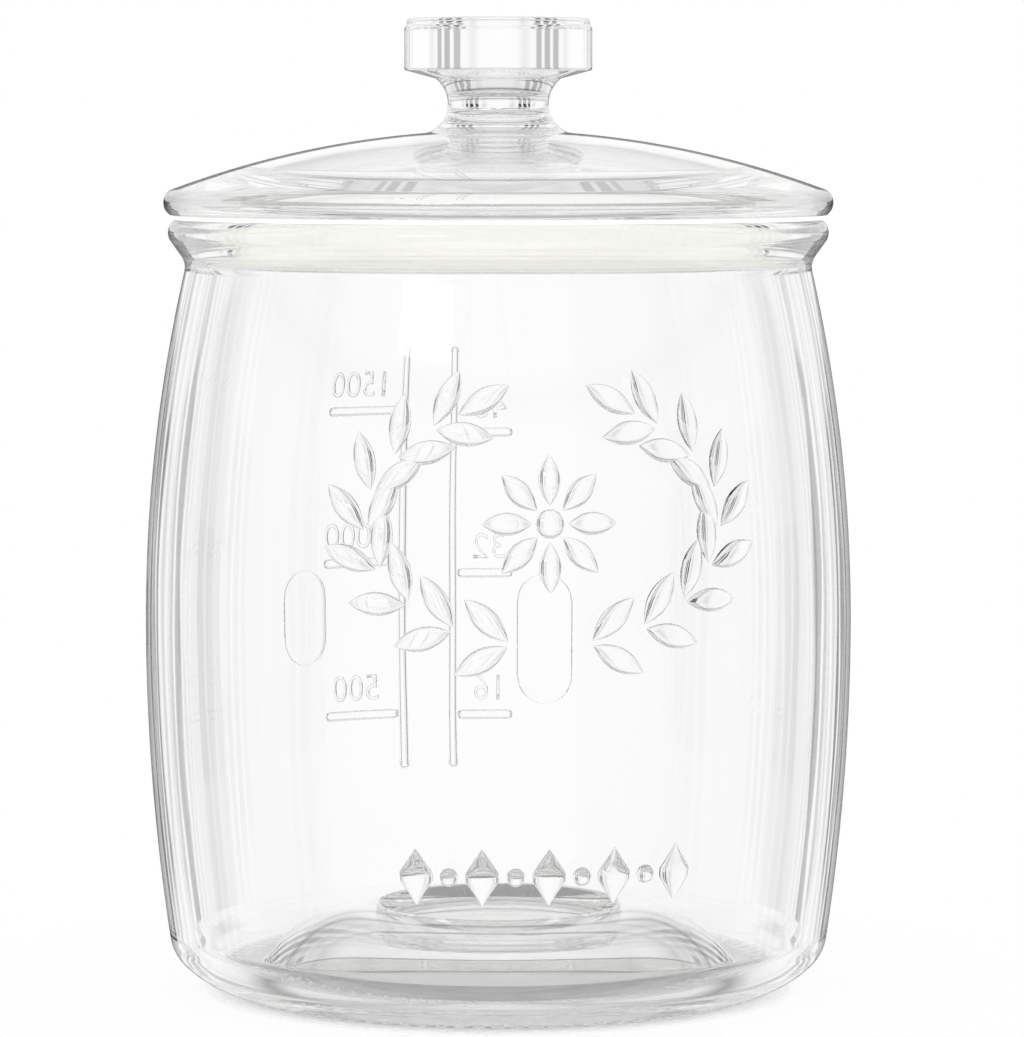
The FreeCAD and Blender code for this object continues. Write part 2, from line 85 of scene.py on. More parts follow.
class Edge:
    """A straight run or an arc of an outline, which may be shifted sideways and cut short."""

    def __init__(self, start, end, arc):
        self.start, self.end, self.arc = start.copy(), end.copy(), arc
        self.centre = arc_centre(start, end, *arc) if arc else None

    def beside(self, distance):
        """The same edge, that far to its left: (point, direction) or (centre, radius)."""
        if self.arc:
            radius, side = self.arc
            return "circle", self.centre, radius - side * distance
        way = (self.end - self.start).normalized()
        return "line", self.start + Vector((-way.y, way.x)) * distance, way

    def foot(self, point):
        """The place on this edge that is nearest to a point."""
        if self.arc:
            return self.centre + (point - self.centre).normalized() * self.arc[0]
        way = (self.end - self.start).normalized()
        return self.start + way * (point - self.start).dot(way)

    def samples(self, step):
        """Points along the edge with the way it runs at each."""
        length = (self.end - self.start).length
        if not self.arc:
            way = (self.end - self.start).normalized()
            count = max(1, math.ceil(length / step))
            return [(self.start.lerp(self.end, n / count), way) for n in range(count + 1)]
        radius, side = self.arc
        first, last = self.start - self.centre, self.end - self.centre
        sweep = math.acos(max(-1.0, min(1.0, first.dot(last) / (radius * radius))))
        count = max(3, math.ceil(radius * sweep / step), math.ceil(sweep / ARC_STEP))
        begin = math.atan2(first.y, first.x)
        made = []
        for n in range(count + 1):
            turn = begin + side * sweep * n / count
            spoke = Vector((math.cos(turn), math.sin(turn)))
            made.append((self.centre + spoke * radius, Vector((-spoke.y, spoke.x)) * side))
        return made


def crossings(one, other):
    """Points where two shifted edges cross."""
    if one[0] == "line" and other[0] == "line":
        (_, p, u), (_, q, v) = one, other
        across = u.x * v.y - u.y * v.x
        gap = q - p
        return [p + u * ((gap.x * v.y - gap.y * v.x) / across)]
    if one[0] == "circle" and other[0] == "circle":
        (_, c, r), (_, d, s) = one, other
        apart = (d - c).length
        way = (d - c) / apart
        reach = (apart * apart + r * r - s * s) / (2 * apart)
        half = math.sqrt(max(r * r - reach * reach, 0.0))
        return [c + way * reach + Vector((-way.y, way.x)) * half * sign for sign in (-1, 1)]
    line, circle = (one, other) if one[0] == "line" else (other, one)
    (_, p, u), (_, c, r) = line, circle
    foot = p + u * (c - p).dot(u)
    half = math.sqrt(max(r * r - (foot - c).length_squared, 0.0))
    return [foot + u * half * sign for sign in (-1, 1)]


def outline(corners, rounds):
    """Edges of an outline through its corners; rounds gives the radius at the corner of a number.

    A corner is (radius, height), with (arc, side) after them where an arc leads up to it.
    """
    places = [Vector(corner[:2]) for corner in corners]
    edges = [
        Edge(places[n - 1], places[n], corners[n][2] if len(corners[n]) > 2 else None)
        for n in range(1, len(places))
    ]
    made = []
    for n, edge in enumerate(edges):
        made.append(edge)
        corner = n + 1
        if corner not in rounds:
            continue
        after, radius = edges[n + 1], rounds[corner]
        come = edge.samples(WHOLE)[-1][1]
        leave = after.samples(WHOLE)[0][1]
        side = LEFT if come.x * leave.y - come.y * leave.x > 0 else RIGHT
        found = crossings(edge.beside(side * radius), after.beside(side * radius))
        centre = min(found, key=lambda point: (point - places[corner]).length)
        first, last = edge.foot(centre), after.foot(centre)
        edge.end, after.start = first, last
        made.append(Edge(first, last, (radius, side)))
    return made


def turned(name, edges, step):
    """A closed piece swept round the axis, with its exact normals kept as facing."""
    angles = np.arange(TURN_STEPS) * 2 * math.pi / TURN_STEPS
    rings, strips = [], []  # places of (radius, height), and the strips between them with normals
    for edge in edges:
        made = edge.samples(step)
        for index, (place, way) in enumerate(made):
            if index == 0 and rings and (rings[-1] - place).length < SAME_PLACE:
                made[0] = (rings[-1], way)
            else:
                rings.append(place)
            if index:
                normals = [Vector((w.y, -w.x)) for w in (made[index - 1][1], way)]
                strips.append((len(rings) - 2, normals))
    points, first_of = [], []
    for place in rings:
        first_of.append(len(points))
        if place.x < ON_AXIS:
            points.append((0.0, 0.0, place.y))
            continue
        for angle in angles:
            points.append((place.x * math.cos(angle), place.x * math.sin(angle), place.y))
    faces, facing = [], []
    for ring, normals in strips:
        low, high = rings[ring], rings[ring + 1]
        for n in range(TURN_STEPS):
            after = (n + 1) % TURN_STEPS
            a, b = angles[n], angles[n] + 2 * math.pi / TURN_STEPS
            if low.x < ON_AXIS:
                corners = [(first_of[ring], (a + b) / 2, 0)]
            else:
                corners = [(first_of[ring] + n, a, 0), (first_of[ring] + after, b, 0)]
            if high.x < ON_AXIS:
                corners += [(first_of[ring + 1], (a + b) / 2, 1)]
            else:
                corners += [(first_of[ring + 1] + after, b, 1), (first_of[ring + 1] + n, a, 1)]
            faces.append([corner[0] for corner in corners])
            for _, angle, end in corners:
                out = normals[end]
                facing.append((out.x * math.cos(angle), out.x * math.sin(angle), out.y))
    mesh = bpy.data.meshes.new(name)
    mesh.from_pydata((np.array(points) * MM).tolist(), [], faces)
    kept = mesh.attributes.new("facing", "FLOAT_VECTOR", "CORNER")
    kept.data.foreach_set("vector", np.array(facing, np.float32).ravel())
    piece = bpy.data.objects.new(name, mesh)
    bpy.context.scene.collection.objects.link(piece)
    return piece


def smooth(piece):
    """Shade a piece smooth, by the normals that were worked out with its shape."""
    mesh = piece.data
    mesh.shade_smooth()
    facing = np.zeros(len(mesh.loops) * 3, np.float32)
    mesh.attributes["facing"].data.foreach_get("vector", facing)
    mesh.attributes.remove(mesh.attributes["facing"])
    mesh.normals_split_custom_set(facing.reshape(-1, 3).tolist())


# ---------------------------------------------------------------------------------------------
# Outlines
# ---------------------------------------------------------------------------------------------


def flank(z):
    """Outer radius of the jar's wall."""
    arc = FLANK_ARC if z < BELLY_Z else SHOULDER_ARC
    return BELLY - arc + math.sqrt(arc * arc - (z - BELLY_Z) ** 2)


def jar_outline():
    """From the middle of the underside out and up the wall, over the mouth and down the inside."""
    foot, heel_z, neck_z = 52.1, 8.1, 151.0
    bead, bead_round, bead_z, bead_angle = 68.45, 3.0, 157.2, math.radians(40)
    bore, moat_z, moat_round = 60.9, 5.5, 8.0
    dome_arc, dome_z, dome_crest, base_wall = 30.0, 17.6, 25.0, 4.5
    dish, dish_z = 22.8, 14.7
    inner_flank, inner_shoulder = FLANK_ARC - WALL, SHOULDER_ARC - WALL
    dome_depth = dome_arc - dome_z
    drop = BELLY_Z - moat_z - moat_round
    reach = math.sqrt((inner_flank - moat_round) ** 2 - drop**2)
    share = inner_flank / (inner_flank - moat_round)
    bead_centre = bead - bead_round
    bore_z = BELLY_Z + math.sqrt(inner_shoulder**2 - (bore - BELLY + SHOULDER_ARC) ** 2)
    corners = [
        (0, dish_z - base_wall),
        (dish, dish_z - base_wall),
        (dome_crest, dome_z - base_wall),
        (
            dome_crest + math.sqrt((dome_arc - base_wall) ** 2 - dome_depth**2),
            0,
            (dome_arc - base_wall, RIGHT),
        ),
        (foot, 0),
        (flank(heel_z), heel_z, (20.0, LEFT)),
        (BELLY, BELLY_Z, (FLANK_ARC, LEFT)),
        (flank(neck_z), neck_z, (SHOULDER_ARC, LEFT)),
        (
            bead_centre + bead_round * math.cos(bead_angle),
            bead_z - bead_round * math.sin(bead_angle),
        ),
        (
            bead_centre + math.sqrt(bead_round**2 - (MOUTH - bead_z) ** 2),
            MOUTH,
            (bead_round, LEFT),
        ),
        (bore, MOUTH),
        (bore, bore_z),
        (BELLY - WALL, BELLY_Z, (inner_shoulder, RIGHT)),
        (
            BELLY - FLANK_ARC + reach * share,
            BELLY_Z - drop * share,
            (inner_flank, RIGHT),
        ),
        (BELLY - FLANK_ARC + reach, moat_z, (moat_round, RIGHT)),
        (dome_crest + math.sqrt(dome_arc**2 - (dome_depth + moat_z) ** 2), moat_z),
        (dome_crest, dome_z, (dome_arc, LEFT)),
        (dish, dish_z),
        (0, dish_z),
    ]
    rounds = {5: 8.2, 7: 4.0, 10: 1.2, 15: 2.5, 1: 0.8, 2: 0.8, 3: 0.8, 16: 0.8, 17: 0.8}
    return outline(corners, rounds)


def ring_outline():
    """The flat ring that the lid sits on, and its sleeve with three fins that grip the bore."""
    sleeve_in, sleeve_out, fin_out = 58.5, 59.8, 60.75
    fin_thick, fin_pitch, edge_round = 0.8, 2.6, 0.25
    # a hair's breadth clear of the glass above and below, so that no two skins share a place
    hair = 0.04
    under, over = MOUTH + hair, SEAT - hair
    corners = [(sleeve_in, MOUTH), (sleeve_in, ring_low.z), (sleeve_out, ring_low.z)]
    for fin in (3, 2, 1):
        middle = MOUTH - fin_pitch * fin
        corners += [
            (sleeve_out, middle - fin_thick),
            (fin_out, middle - fin_thick / 2),
            (fin_out, middle + fin_thick / 2),
            (sleeve_out, middle + fin_thick),
        ]
    inner_corner = len(corners)
    corners += [
        (sleeve_out, under),
        (ring_high.x, under),
        (ring_high.x, over),
        (sleeve_in, over),
        (sleeve_in, MOUTH),
    ]
    rounds = {n: edge_round for n in range(1, len(corners) - 1) if n != inner_corner}
    return outline(corners, rounds)


def lid_outline():
    """From the middle of the underside out over the plug, round the rim and up to the knob."""
    rim, rim_round, lid_arc, lid_rise, lid_wall = lid_high.x, 3.0, 193.0, 17.5, 4.4
    plug, plug_wall, plug_drop = 58.4, 4.4, 10.7
    dimple, dimple_depth = 17.5, 1.4
    stem, stem_z, stem_foot, crease, crease_z = 10.45, 22.95, 14.4, 12.95, 28.1
    knob, knob_bottom, ledge, ledge_drop, knob_rim = 19.46, 29.85, 38.5, 0.7, 18.95
    top = LID_TOP - SEAT
    lid_centre = lid_rise - lid_arc
    under = lid_arc - lid_wall
    lift = lid_centre + math.sqrt((lid_arc - rim_round) ** 2 - (rim - rim_round) ** 2)
    foot_z = lid_centre + math.sqrt(lid_arc**2 - stem_foot**2)

    def waist_arc(outer, rise):
        return ((outer - stem) ** 2 + rise**2) / (2 * (outer - stem))

    share = lid_arc / (lid_arc - rim_round)
    corners = [
        (0, lid_rise - lid_wall + dimple_depth),
        (dimple, lid_rise - lid_wall + dimple_depth),
        (dimple, lid_centre + math.sqrt(under**2 - dimple**2)),
        (plug - plug_wall, lid_centre + math.sqrt(under**2 - (plug - plug_wall) ** 2), (under, RIGHT)),
        (plug - plug_wall, -plug_drop),
        (plug, -plug_drop),
        (plug, 0),
        (rim - rim_round + math.sqrt(rim_round**2 - lift**2), 0),
        ((rim - rim_round) * share, lid_centre + (lift - lid_centre) * share, (rim_round, LEFT)),
        (stem_foot, foot_z, (lid_arc, LEFT)),
        (stem, stem_z, (waist_arc(stem_foot, stem_z - foot_z), RIGHT)),
        (crease, crease_z, (waist_arc(crease, crease_z - stem_z), RIGHT)),
        (knob, knob_bottom),
        (knob, ledge),
        (knob_rim, ledge + ledge_drop),
        (knob_rim, top),
        (0, top),
    ]
    raised = [(corner[0], corner[1] + SEAT, *corner[2:]) for corner in corners]
    rounds = {3: 4.0, 4: 1.5, 5: 1.5, 9: 4.0, 12: 0.6, 15: 0.6, 1: 0.3, 2: 0.3, 13: 0.15, 14: 0.15}
    return outline(raised, rounds)


# ---------------------------------------------------------------------------------------------
# Node sums: a socket that can be reckoned with, in shader and geometry trees alike
# ---------------------------------------------------------------------------------------------


class Value:
    """A number in a node tree; the usual signs between two of them add a Math node."""

    def __init__(self, tree, socket):
        self.tree, self.socket = tree, socket

    def sum(self, kind, *others):
        """A Math node of one kind, on this number and the others."""
        node = self.tree.nodes.new("ShaderNodeMath")
        node.operation = kind
        for place, other in enumerate((self, *others)):
            feed(self.tree, other, node.inputs[place])
        return Value(self.tree, node.outputs[0])

    def __add__(self, other):
        return self.sum("ADD", other)

    def __sub__(self, other):
        return self.sum("SUBTRACT", other)

    def __mul__(self, other):
        return self.sum("MULTIPLY", other)

    def __truediv__(self, other):
        return self.sum("DIVIDE", other)

    def mapped(self, low, high, to_low=0.0, to_high=1.0, smooth=False):
        """This number mapped from low..high to to_low..to_high, and held there beyond."""
        node = self.tree.nodes.new("ShaderNodeMapRange")
        node.interpolation_type = "SMOOTHSTEP" if smooth else "LINEAR"
        for name, value in (
            ("Value", self),
            ("From Min", low),
            ("From Max", high),
            ("To Min", to_low),
            ("To Max", to_high),
        ):
            feed(self.tree, value, node.inputs[name])
        return Value(self.tree, node.outputs[0])

    def within(self, low, high, soft):
        """One between low and high, falling to nothing over the soft width outside them."""
        rising = self.mapped(low - soft, low, smooth=True)
        return rising * self.mapped(high, high + soft, 1, 0, smooth=True)


def feed(tree, value, socket):
    """Link a Value to a socket, or set a plain number on it."""
    if isinstance(value, Value):
        tree.links.new(value.socket, socket)
    else:
        socket.default_value = value


def apart(tree, vector):
    """The three numbers of a vector."""
    node = tree.nodes.new("ShaderNodeSeparateXYZ")
    tree.links.new(vector, node.inputs[0])
    return [Value(tree, socket) for socket in node.outputs]


def together(tree, *numbers):
    """A vector of three numbers."""
    node = tree.nodes.new("ShaderNodeCombineXYZ")
    for number, socket in zip(numbers, node.inputs):
        feed(tree, number, socket)
    return node.outputs[0]


def ramp(tree, value, stops):
    """A colour ramp of grey levels; each stop is a place and its level."""
    node = tree.nodes.new("ShaderNodeValToRGB")
    marks = node.color_ramp.elements
    while len(marks) < len(stops):
        marks.new(0.5)
    for mark, (place, level) in zip(marks, stops):
        mark.position, mark.color = place, (level, level, level, 1)
    feed(tree, value, node.inputs[0])
    return Value(tree, node.outputs[0])


def group(name, kind, sockets):
    """A node group with named sockets: (name, IN or OUT, socket type, default)."""
    tree = bpy.data.node_groups.new(name, kind)
    for label, way, socket_type, *default in sockets:
        made = tree.interface.new_socket(label, in_out=way + "PUT", socket_type="NodeSocket" + socket_type)
        if default:
            made.default_value = default[0]
    return tree, tree.nodes.new("NodeGroupInput"), tree.nodes.new("NodeGroupOutput")


# ---------------------------------------------------------------------------------------------
# Relief: Geometry Nodes lay soft-edged marks on the wall and join them to the glass
# ---------------------------------------------------------------------------------------------

ROUND, LEAF, LOZENGE = range(3)  # outlines of a mark
ORNAMENT_TURN, SCALE_TURN = math.radians(8), math.radians(180 + 13)
RELIEF, SCALE_RELIEF, TAB_RELIEF = 1.2, 0.8, 0.35
WREATH_Z, ROW_Z = 102.0, 32.5
LARGE_TICKS = [(49.2 + 33.9 * n, str(500 * (n + 1))) for n in range(3)]  # millilitres
SMALL_TICKS = [(48.6 + 31.6 * n, str(16 * (n + 1))) for n in range(3)]  # fluid ounces
RAIL, SCALE_LINE, LARGE_REACH, SMALL_REACH = 5.9, 2.2, 19.0, 13.0
SCALE_SIDES = ((1, LARGE_TICKS, LARGE_REACH), (-1, SMALL_TICKS, SMALL_REACH))
RAIL_LOW, RAIL_HIGH = 38.0, 130.0
TABS = ((31.5, 71.5, 21.0, 12.0), (-27.5, 65.5, 29.0, 13.0))  # along, height, length, width
FIGURE_HEIGHT, FIGURE_LIFT = 6.0, 3.2  # the lift is from a tick to the foot of its figures
FIGURE_RELIEF = 0.5
SIZE_FOR_HEIGHT = 1.37  # letter size over the height of a figure


def mark(shape, along, height, tilt, length, width, depth):
    """One mark: where its middle is, how it is turned, and its size."""
    return shape, along, height, math.radians(tilt), length / 2, width / 2, depth


def ornament_marks():
    """A leaf wreath round a rosette, with a row of lozenges and beads below it."""
    half_width, half_height, pairs, lean = 37.0, 24.0, 8, 36.0
    first_turn, whole_turn = -78, 128
    length, width, stem = 12.0, 4.8, 1.6
    petals, petal_length, petal_width, heart, heart_gap = 8, 10.0, 4.6, 5.8, 3.6
    lozenges, lozenge_pitch, lozenge_length, lozenge_width, bead = 5, 13.5, 11.5, 8.0, 3.8
    layers = [[], [], [], [], []]  # neighbours that overlap are in different layers
    for side in (-1, 1):
        for n in range(pairs):
            turn = math.radians(first_turn + whole_turn * n / (pairs - 1))
            x, z = side * half_width * math.cos(turn), WREATH_Z + half_height * math.sin(turn)
            growth = math.degrees(
                math.atan2(half_height * math.cos(turn), -side * half_width * math.sin(turn))
            )
            near, far, out = n % 2, 2 + n % 2, (length + stem) / 2
            leaves = [(growth - lean, out, near), (growth + lean, out, far)]
            if n == pairs - 1:
                leaves.append((growth, length, -1))
            for tilt, out, layer in leaves:
                way = math.radians(tilt)
                place = (x + out * math.cos(way), z + out * math.sin(way))
                layers[layer].append(mark(LEAF, *place, tilt, length, width, RELIEF))
    marks = layers[-1]
    for petal in range(petals):
        tilt, out = 360 / petals * petal, heart_gap + petal_length / 2
        place = (out * math.cos(math.radians(tilt)), WREATH_Z + out * math.sin(math.radians(tilt)))
        marks.append(mark(LEAF, *place, tilt, petal_length, petal_width, RELIEF))
    marks.append(mark(ROUND, 0, WREATH_Z, 0, heart, heart, RELIEF))
    for n in range(lozenges):
        along = (n - (lozenges - 1) / 2) * lozenge_pitch
        marks.append(mark(LOZENGE, along, ROW_Z, 90, lozenge_length, lozenge_width, RELIEF))
        if n:
            marks.append(mark(ROUND, along - lozenge_pitch / 2, ROW_Z, 0, bead, bead, RELIEF))
    return layers


def scale_marks():
    """Two rails with ticks that run outwards from them, and a bare tab beside each."""
    marks = []
    middle, length = (RAIL_LOW + RAIL_HIGH) / 2, RAIL_HIGH - RAIL_LOW + SCALE_LINE
    for side, ticks, reach in SCALE_SIDES:
        marks.append(mark(ROUND, side * RAIL, middle, 90, length, SCALE_LINE, SCALE_RELIEF))
        for height, _ in ticks:
            out = RAIL + SCALE_LINE / 2 + reach / 2
            marks.append(mark(ROUND, side * out, height, 0, reach, SCALE_LINE, SCALE_RELIEF))
    for along, height, length, width in TABS:
        marks.append(mark(ROUND, along, height, 90, length, width, TAB_RELIEF))
    return marks


def points_with(name, marks):
    """A mesh of bare points, one for each mark, that carries the marks' numbers."""
    mesh = bpy.data.meshes.new(name)
    mesh.from_pydata([(along * MM, 0, height * MM) for _, along, height, *_ in marks], [], [])
    carried = (("shape", 0, 1), ("tilt", 3, 1), ("long", 4, MM), ("wide", 5, MM), ("deep", 6, MM))
    for label, place, unit in carried:
        kept = mesh.attributes.new(label, "FLOAT", "POINT")
        kept.data.foreach_set("value", [entry[place] * unit for entry in marks])
    return mesh


def attribute(tree, name, kind="FLOAT"):
    """What the points carry under a name."""
    node = tree.nodes.new("GeometryNodeInputNamedAttribute")
    node.data_type = kind
    node.inputs["Name"].default_value = name
    return node.outputs["Attribute"]


def stored(tree, geometry, name, value):
    """The geometry with a vector kept on its points under a name."""
    node = tree.nodes.new("GeometryNodeStoreNamedAttribute")
    node.data_type, node.domain = "FLOAT_VECTOR", "POINT"
    node.inputs["Name"].default_value = name
    tree.links.new(geometry, node.inputs["Geometry"])
    tree.links.new(value, node.inputs["Value"])
    return node.outputs[0]


WALL_SOCKETS = (
    ("Arc Below", "IN", "Float", FLANK_ARC * MM),  # radius of the wall's outline below its middle
    ("Arc Above", "IN", "Float", SHOULDER_ARC * MM),
    ("Middle Radius", "IN", "Float", BELLY * MM),
    ("Middle Height", "IN", "Float", BELLY_Z * MM),
    ("Turn", "IN", "Float", 0.0),  # of the design's centre from -Y
)


def wall_group():
    """Where a point of a flat design comes to lie on the turned wall."""
    tree, come, go = group(
        "on_wall",
        "GeometryNodeTree",
        (("Along", "IN", "Float"), ("Height", "IN", "Float"), ("Out", "IN", "Float"), *WALL_SOCKETS,
         ("Girth Radius", "IN", "Float", BELLY * MM), ("Position", "OUT", "Vector")),
    )
    get = {socket.name: Value(tree, socket) for socket in come.outputs if socket.name}
    rise = get["Height"] - get["Middle Height"]
    above = rise.sum("GREATER_THAN", 0.0)
    arc = get["Arc Below"] + (get["Arc Above"] - get["Arc Below"]) * above
    lean = rise / arc
    reach = arc + get["Out"]
    radius = get["Middle Radius"] - arc + reach * lean.sum("COSINE")
    turn = get["Turn"] + get["Along"] / get["Girth Radius"]
    place = together(
        tree,
        radius * turn.sum("SINE"),
        radius * turn.sum("COSINE") * -1.0,
        get["Middle Height"] + reach * lean.sum("SINE"),
    )
    tree.links.new(place, go.inputs["Position"])
    return tree


ON_WALL = wall_group()


def laid(tree, geometry, come, along, height, out):
    """The geometry with its points put on the wall."""
    on_wall = tree.nodes.new("GeometryNodeGroup")
    on_wall.node_tree = ON_WALL
    for label, value in (("Along", along), ("Height", height), ("Out", out)):
        feed(tree, value, on_wall.inputs[label])
    for socket in come.outputs:
        if socket.name in on_wall.inputs and socket.name not in ("Along", "Height", "Out"):
            tree.links.new(socket, on_wall.inputs[socket.name])
    moved = tree.nodes.new("GeometryNodeSetPosition")
    tree.links.new(geometry, moved.inputs["Geometry"])
    tree.links.new(on_wall.outputs["Position"], moved.inputs["Position"])
    return moved.outputs[0]


BALL_SEGMENTS = 20  # faces across a mark and under it
STRAIGHT_SHARE = 0.8  # share of a long round mark's rings that lie on its straight part


def marks_tree():
    """Soft-edged marks on a wall, one for each point that comes in."""
    tree, come, go = group(
        "raised_marks",
        "GeometryNodeTree",
        (("Geometry", "IN", "Geometry"), *WALL_SOCKETS, ("Girth Radius", "IN", "Float", BELLY * MM),
         ("Ring Count", "IN", "Int", 11), ("Material", "IN", "Material"), ("Geometry", "OUT", "Geometry")),
    )
    link = tree.links.new
    here = tree.nodes.new("GeometryNodeInputPosition").outputs[0]
    ball = tree.nodes.new("GeometryNodeMeshUVSphere")
    ball.inputs["Segments"].default_value = BALL_SEGMENTS
    ball.inputs["Radius"].default_value = 1.0
    link(come.outputs["Ring Count"], ball.inputs["Rings"])
    kept = stored(tree, ball.outputs["Mesh"], "ball", here)
    placed = stored(tree, come.outputs["Geometry"], "place", here)
    many = tree.nodes.new("GeometryNodeInstanceOnPoints")
    link(placed, many.inputs["Points"])
    link(kept, many.inputs["Instance"])
    real = tree.nodes.new("GeometryNodeRealizeInstances")
    link(many.outputs[0], real.inputs[0])
    across, out, length = apart(tree, attribute(tree, "ball", "FLOAT_VECTOR"))
    shape, tilt, long, wide, deep = (
        Value(tree, attribute(tree, name)) for name in ("shape", "tilt", "long", "wide", "deep")
    )
    ends = length.sum("ABSOLUTE")
    girth = (length * length * -1.0 + 1.0).sum("MAXIMUM", 0.0).sum("SQRT")
    is_leaf = shape.sum("COMPARE", float(LEAF), 0.1)
    is_lozenge = shape.sum("COMPARE", float(LOZENGE), 0.1)
    is_round = shape.sum("COMPARE", float(ROUND), 0.1)
    thin = girth.sum("MAXIMUM", 0.02)
    straight = (ends * -1.0 + 1.0) / thin
    # a round mark is a ball drawn out along its middle, with most of its rings on the straight part
    body = (wide / long * -1.0 + 1.0) * STRAIGHT_SHARE
    cap = ((ends - body) / (body * -1.0 + 1.0)).sum("MAXIMUM", 0.0) * (math.pi / 2)
    drawn = ends.sum("MINIMUM", body) / body.sum("MAXIMUM", 0.0001) * (long - wide)
    drawn = length.sum("SIGN") * (drawn + wide * cap.sum("SINE"))
    slim = is_round * cap.sum("COSINE") / thin + is_leaf * girth + is_lozenge * straight
    u = length * long * (is_round * -1.0 + 1.0) + drawn * is_round
    w = across * wide * slim
    h = out * deep * slim
    x, _, z = apart(tree, attribute(tree, "place", "FLOAT_VECTOR"))
    cosine, sine = tilt.sum("COSINE"), tilt.sum("SINE")
    put = laid(tree, real.outputs[0], come, x + u * cosine - w * sine, z + u * sine + w * cosine, h)
    finish_tree(tree, put, come, go)
    return tree


def finish_tree(tree, geometry, come, go):
    """Keep the smooth normals as facing, realize, and give the material."""
    shade = tree.nodes.new("GeometryNodeInputNormal").outputs[0]
    geometry = stored(tree, geometry, "facing", shade)
    real = tree.nodes.new("GeometryNodeRealizeInstances")
    skin = tree.nodes.new("GeometryNodeSetMaterial")
    tree.links.new(geometry, real.inputs[0])
    tree.links.new(real.outputs[0], skin.inputs[0])
    tree.links.new(come.outputs["Material"], skin.inputs["Material"])
    tree.links.new(skin.outputs[0], go.inputs["Geometry"])


def figures_tree():
    """Raised figures on a wall: one word, written along it from a place."""
    tree, come, go = group(
        "raised_figures",
        "GeometryNodeTree",
        (("Geometry", "IN", "Geometry"), *WALL_SOCKETS, ("Girth Radius", "IN", "Float", BELLY * MM),
         ("Figures", "IN", "String", "0"), ("Figure Height", "IN", "Float", FIGURE_HEIGHT * MM),
         ("Place Along", "IN", "Float"), ("Place Height", "IN", "Float"),
         ("Depth", "IN", "Float", FIGURE_RELIEF * MM), ("Material", "IN", "Material"),
         ("Geometry", "OUT", "Geometry")),
    )
    link, new = tree.links.new, tree.nodes.new
    get = {socket.name: socket for socket in come.outputs}
    depth = Value(tree, get["Depth"])
    write = new("GeometryNodeStringToCurves")
    write.align_x = "CENTER"
    link(get["Figures"], write.inputs["String"])
    feed(tree, Value(tree, get["Figure Height"]) * SIZE_FOR_HEIGHT, write.inputs["Size"])
    real = new("GeometryNodeRealizeInstances")
    fill = new("GeometryNodeFillCurve")
    raise_up = new("GeometryNodeExtrudeMesh")
    flip = new("GeometryNodeFlipFaces")
    both, weld = new("GeometryNodeJoinGeometry"), new("GeometryNodeMergeByDistance")
    raise_up.inputs["Individual"].default_value = False
    feed(tree, depth * 2.0, raise_up.inputs["Offset Scale"])
    weld.inputs["Distance"].default_value = 0.01 * MM
    link(write.outputs["Curve Instances"], real.inputs[0])
    link(real.outputs[0], fill.inputs[0])
    link(fill.outputs[0], raise_up.inputs["Mesh"])
    link(fill.outputs[0], flip.inputs["Mesh"])
    link(raise_up.outputs["Mesh"], both.inputs[0])
    link(flip.outputs[0], both.inputs[0])
    link(both.outputs[0], weld.inputs[0])
    x, y, z = apart(tree, new("GeometryNodeInputPosition").outputs[0])
    along, height = x + Value(tree, get["Place Along"]), y + Value(tree, get["Place Height"])
    put = laid(tree, weld.outputs[0], come, along, height, z - depth)
    finish_tree(tree, put, come, go)
    return tree


def by_nodes(name, mesh, tree, **values):
    """The plain mesh that a tree makes from a mesh."""
    blank = bpy.data.objects.new(name + "_blank", mesh)
    bpy.context.scene.collection.objects.link(blank)
    modifier = blank.modifiers.new(name, "NODES")
    modifier.node_group = tree
    sockets = {
        item.name.replace(" ", "_").lower(): item.identifier
        for item in tree.interface.items_tree
        if item.in_out == "INPUT"
    }
    for label, value in values.items():
        modifier[sockets[label]] = value
    seen = blank.evaluated_get(bpy.context.evaluated_depsgraph_get())
    made = bpy.data.meshes.new_from_object(seen)
    made.name = name
    blank.modifiers.clear()
    bpy.data.objects.remove(blank)
    return made


def joined_tree(count):
    """One glass out of the turned jar and the marks on it."""
    tree, come, go = group(
        "joined_glass",
        "GeometryNodeTree",
        (("Geometry", "IN", "Geometry"), *(("Marks %d" % n, "IN", "Object") for n in range(count)),
         ("Material", "IN", "Material"), ("Geometry", "OUT", "Geometry")),
    )
    union = tree.nodes.new("GeometryNodeMeshBoolean")
    union.operation, union.solver = "UNION", "MANIFOLD"
    for n in range(count):
        source = tree.nodes.new("GeometryNodeObjectInfo")
        tree.links.new(come.outputs["Marks %d" % n], source.inputs["Object"])
        tree.links.new(source.outputs["Geometry"], union.inputs["Mesh 2"])
    tree.links.new(come.outputs["Geometry"], union.inputs["Mesh 2"])
    real = tree.nodes.new("GeometryNodeRealizeInstances")
    skin = tree.nodes.new("GeometryNodeSetMaterial")
    tree.links.new(union.outputs["Mesh"], real.inputs[0])
    tree.links.new(real.outputs[0], skin.inputs[0])
    tree.links.new(come.outputs["Material"], skin.inputs["Material"])
    tree.links.new(skin.outputs[0], go.inputs["Geometry"])
    return tree


# the sole's outline is an arc that leaves the foot level; the grip marks lie across it
SOLE_MIDDLE, SOLE_ARC, GRIP_GIRTH, GRIP_COUNT = 52.18, 20.0, 56.0, 92
GRIP_LEAN = 0.20  # how far up the arc the marks lie, in radians
GRIP_TILT, GRIP_LENGTH, GRIP_WIDTH, GRIP_RELIEF = 58, 5.6, 1.7, 0.28
GRIP_RINGS, TICK_RINGS, RAIL_RINGS = 9, 23, 63  # rings along a mark
LONG_MARK = 30.0  # half the length from which a mark is as long as a rail


